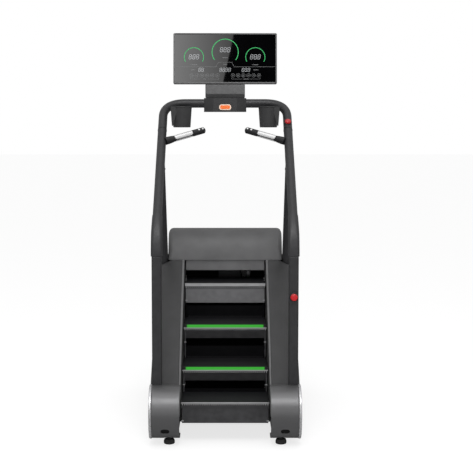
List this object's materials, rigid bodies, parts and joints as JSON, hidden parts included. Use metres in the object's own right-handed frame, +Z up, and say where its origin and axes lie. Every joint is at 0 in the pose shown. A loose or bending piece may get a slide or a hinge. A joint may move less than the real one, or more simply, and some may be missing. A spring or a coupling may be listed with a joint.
{
  "type": "stair climber",
  "caption": "Gym stair climber with a flight of driven steps between sloping casings, tube handrail hoop, display, cup holders, hand grips and stop knob.",
  "frame": {"origin": "middle of the bounding box, on the floor under the levelling feet", "axes": "+Z up; +X to the user's right; +Y from the entry side towards the display"},
  "size_m": [0.8, 1.496, 2.1807],
  "materials": {
    "frame_paint": "satin charcoal powder coat",
    "casing": "fine grained charcoal moulding",
    "satin_end": "satin dark silver",
    "step": "ribbed anti-slip step moulding",
    "steel": "machined steel",
    "black_plastic": "fine grained black",
    "rubber": "moulded rubber",
    "rim": "satin grey",
    "glass": "gloss black display panel",
    "red": "semi-gloss red",
    "orange": "semi-gloss orange"
  },
  "bodies": {
    "machine": {"alternator": "black_plastic", "base_rail_left": "frame_paint", "base_rail_right": "frame_paint", "console_glass": "glass", "console_neck": "rim", "console_shell": "rim", "control_pod": "black_plastic", "cowl": "casing", "cowl_lip": "casing", "cross_tube_front": "frame_paint", "cross_tube_rear": "frame_paint", "crossbar": "frame_paint", "cup_holder_left": "black_plastic", "cup_holder_right": "black_plastic", "drive_belt": "rubber", "front_cover": "casing", "front_strut_left": "frame_paint", "front_strut_right": "frame_paint", "hand_grip_left": "black_plastic", "hand_grip_right": "black_plastic", "handrail_left": "frame_paint", "handrail_right": "frame_paint", "post_cap_left": "frame_paint", "post_cap_right": "frame_paint", "post_left": "frame_paint", "post_right": "frame_paint", "power_inlet": "black_plastic", "round_end_left": "satin_end", "round_end_right": "satin_end", "side_casing_left": "casing", "side_casing_right": "casing", "side_plate_left": "frame_paint", "side_plate_right": "frame_paint", "step_chain_left": "steel", "step_chain_right": "steel"},
    "stair_flight": {"tread_1": "step", "tread_2": "step", "tread_3": "step", "tread_4": "step", "riser_1": "step", "riser_2": "step", "riser_3": "step", "riser_4": "step"},
    "drive_shaft_body": {"drive_shaft": "steel"},
    "idler_right_body": {"idler_sprocket_right": "steel"},
    "idler_left_body": {"idler_sprocket_left": "steel"},
    "rotor_body": {"alternator_rotor": "steel"},
    "stop_knob_body": {"stop_knob": "red"},
    "rail_button_body": {"rail_button": "red"},
    "pod_button_body": {"pod_button": "orange"},
    "grip_button_inner_right_body": {"grip_button_inner_right": "rim"},
    "grip_button_inner_left_body": {"grip_button_inner_left": "rim"},
    "grip_button_tip_right_body": {"grip_button_tip_right": "rim"},
    "grip_button_tip_left_body": {"grip_button_tip_left": "rim"},
    "wheel_right_body": {"transport_wheel_right": "rubber"},
    "wheel_left_body": {"transport_wheel_left": "rubber"},
    "foot_rear_right_body": {"foot_rear_right": "rubber"},
    "foot_rear_left_body": {"foot_rear_left": "rubber"},
    "foot_front_right_body": {"foot_front_right": "rubber"},
    "foot_front_left_body": {"foot_front_left": "rubber"}
  },
  "joints": [
    {"name": "stair_travel", "type": "slide", "parent": "machine", "child": "stair_flight", "axis": [0, -0.784, -0.6207], "range_m": [0, 0.1]},
    {"name": "drive_shaft_turn", "type": "hinge", "parent": "machine", "child": "drive_shaft_body", "pos_m": [0, 0.349, 0.813], "axis": [1, 0, 0], "range_deg": [-5, 121.3]},
    {"name": "idler_right_turn", "type": "hinge", "parent": "machine", "child": "idler_right_body", "pos_m": [0.236, -0.487, 0.15], "axis": [1, 0, 0], "range_deg": [-5, 121.3]},
    {"name": "idler_left_turn", "type": "hinge", "parent": "machine", "child": "idler_left_body", "pos_m": [-0.236, -0.487, 0.15], "axis": [1, 0, 0], "range_deg": [-5, 121.3]},
    {"name": "rotor_turn", "type": "hinge", "parent": "machine", "child": "rotor_body", "pos_m": [0.11, 0.588, 0.745], "axis": [1, 0, 0], "range_deg": [-15, 313.7]},
    {"name": "stop_press", "type": "slide", "parent": "machine", "child": "stop_knob_body", "axis": [0, 1, 0], "range_m": [0, 0.004]},
    {"name": "rail_button_press", "type": "slide", "parent": "machine", "child": "rail_button_body", "axis": [0, 0.6088, -0.7934], "range_m": [0, 0.002], "stiffness_N_per_m": 2500, "springref_m": -0.001},
    {"name": "pod_button_press", "type": "slide", "parent": "machine", "child": "pod_button_body", "axis": [0, 1, 0], "range_m": [0, 0.002], "stiffness_N_per_m": 1500, "springref_m": -0.001},
    {"name": "grip_button_inner_right_press", "type": "slide", "parent": "machine", "child": "grip_button_inner_right_body", "axis": [0.2232, 0.6954, -0.6831], "range_m": [0, 0.0012], "stiffness_N_per_m": 900, "springref_m": -0.0005},
    {"name": "grip_button_tip_right_press", "type": "slide", "parent": "machine", "child": "grip_button_tip_right_body", "axis": [0.2232, 0.6954, -0.6831], "range_m": [0, 0.0012], "stiffness_N_per_m": 900, "springref_m": -0.0005},
    {"name": "grip_button_inner_left_press", "type": "slide", "parent": "machine", "child": "grip_button_inner_left_body", "axis": [-0.2232, 0.6954, -0.6831], "range_m": [0, 0.0012], "stiffness_N_per_m": 900, "springref_m": -0.0005},
    {"name": "grip_button_tip_left_press", "type": "slide", "parent": "machine", "child": "grip_button_tip_left_body", "axis": [-0.2232, 0.6954, -0.6831], "range_m": [0, 0.0012], "stiffness_N_per_m": 900, "springref_m": -0.0005},
    {"name": "wheel_right_spin", "type": "hinge", "parent": "machine", "child": "wheel_right_body", "pos_m": [0.352, 0.653, 0.048], "axis": [1, 0, 0], "continuous": true},
    {"name": "wheel_left_spin", "type": "hinge", "parent": "machine", "child": "wheel_left_body", "pos_m": [-0.352, 0.653, 0.048], "axis": [1, 0, 0], "continuous": true},
    {"name": "foot_rear_right_screw", "type": "hinge", "parent": "machine", "child": "foot_rear_right_body", "pos_m": [0.292, -0.637, 0.03], "axis": [0, 0, 1], "continuous": true},
    {"name": "foot_rear_left_screw", "type": "hinge", "parent": "machine", "child": "foot_rear_left_body", "pos_m": [-0.292, -0.637, 0.03], "axis": [0, 0, 1], "continuous": true},
    {"name": "foot_front_right_screw", "type": "hinge", "parent": "machine", "child": "foot_front_right_body", "pos_m": [0.292, 0.613, 0.03], "axis": [0, 0, 1], "continuous": true},
    {"name": "foot_front_left_screw", "type": "hinge", "parent": "machine", "child": "foot_front_left_body", "pos_m": [-0.292, 0.613, 0.03], "axis": [0, 0, 1], "continuous": true}
  ],
  "couplings": [
    {"joint": "drive_shaft_turn", "follows": "stair_travel", "rad_per_m": 19.417},
    {"joint": "idler_right_turn", "follows": "stair_travel", "rad_per_m": 19.417},
    {"joint": "idler_left_turn", "follows": "stair_travel", "rad_per_m": 19.417},
    {"joint": "rotor_turn", "follows": "stair_travel", "rad_per_m": 51.262}
  ]
}
